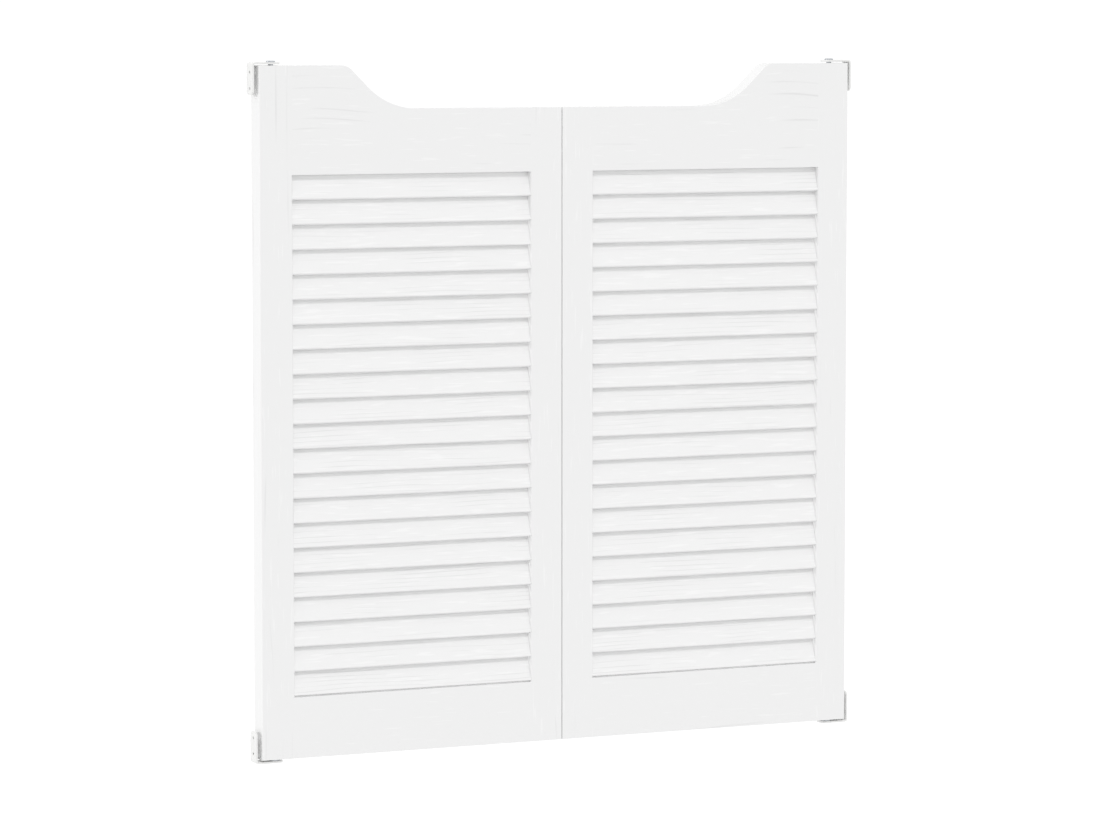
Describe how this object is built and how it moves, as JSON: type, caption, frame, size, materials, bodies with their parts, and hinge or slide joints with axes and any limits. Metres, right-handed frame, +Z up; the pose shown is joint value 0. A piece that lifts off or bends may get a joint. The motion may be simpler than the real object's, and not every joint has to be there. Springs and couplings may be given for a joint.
{
  "type": "cafe swinging doors",
  "caption": "Pair of white louvred cafe doors with scooped top rails, swinging both ways on sprung pivots between jamb brackets.",
  "frame": {"origin": "on the seam between the leaves, at mid-thickness, at the lowest face of the bottom brackets", "axes": "+Z up along the stiles, +X to the right across the doorway, -Y out of the front face"},
  "size_m": [1.034, 0.035, 1.0805],
  "materials": {
    "painted_pine": "pine with a satin white paint, the grain faintly showing",
    "white_powder_coat": "stamped steel strip, white powder coat",
    "nylon": "natural nylon, turned",
    "zinc_plated_steel": "turned steel, bright zinc plate",
    "spring_steel": "oil-tempered spring wire"
  },
  "bodies": {
    "jamb_hardware": {"top_jamb_brackets": "white_powder_coat", "bottom_jamb_brackets": "white_powder_coat", "top_pivot_pins": "zinc_plated_steel", "bottom_pivot_spindles": "zinc_plated_steel", "pivot_springs": "spring_steel"},
    "left_leaf": {"left_hinge_stile": "painted_pine", "left_meeting_stile": "painted_pine", "left_top_rail": "painted_pine", "left_bottom_rail": "painted_pine", "left_slat_01": "painted_pine", "left_slat_02": "painted_pine", "left_slat_03": "painted_pine", "left_slat_04": "painted_pine", "left_slat_05": "painted_pine", "left_slat_06": "painted_pine", "left_slat_07": "painted_pine", "left_slat_08": "painted_pine", "left_slat_09": "painted_pine", "left_slat_10": "painted_pine", "left_slat_11": "painted_pine", "left_slat_12": "painted_pine", "left_slat_13": "painted_pine", "left_slat_14": "painted_pine", "left_slat_15": "painted_pine", "left_slat_16": "painted_pine", "left_slat_17": "painted_pine", "left_slat_18": "painted_pine", "left_slat_19": "painted_pine", "left_slat_20": "painted_pine", "left_slat_21": "painted_pine", "left_top_bushing": "nylon", "left_pivot_barrel": "zinc_plated_steel"},
    "right_leaf": {"right_hinge_stile": "painted_pine", "right_meeting_stile": "painted_pine", "right_top_rail": "painted_pine", "right_bottom_rail": "painted_pine", "right_slat_01": "painted_pine", "right_slat_02": "painted_pine", "right_slat_03": "painted_pine", "right_slat_04": "painted_pine", "right_slat_05": "painted_pine", "right_slat_06": "painted_pine", "right_slat_07": "painted_pine", "right_slat_08": "painted_pine", "right_slat_09": "painted_pine", "right_slat_10": "painted_pine", "right_slat_11": "painted_pine", "right_slat_12": "painted_pine", "right_slat_13": "painted_pine", "right_slat_14": "painted_pine", "right_slat_15": "painted_pine", "right_slat_16": "painted_pine", "right_slat_17": "painted_pine", "right_slat_18": "painted_pine", "right_slat_19": "painted_pine", "right_slat_20": "painted_pine", "right_slat_21": "painted_pine", "right_top_bushing": "nylon", "right_pivot_barrel": "zinc_plated_steel"}
  },
  "joints": [
    {"name": "left_swing", "type": "hinge", "parent": "jamb_hardware", "child": "left_leaf", "pos_m": [-0.4826, 0, 0], "axis": [0, 0, 1], "range_deg": [-90, 90], "stiffness_Nm_per_rad": 2},
    {"name": "right_swing", "type": "hinge", "parent": "jamb_hardware", "child": "right_leaf", "pos_m": [0.4826, 0, 0], "axis": [0, 0, -1], "range_deg": [-90, 90], "stiffness_Nm_per_rad": 2}
  ]
}
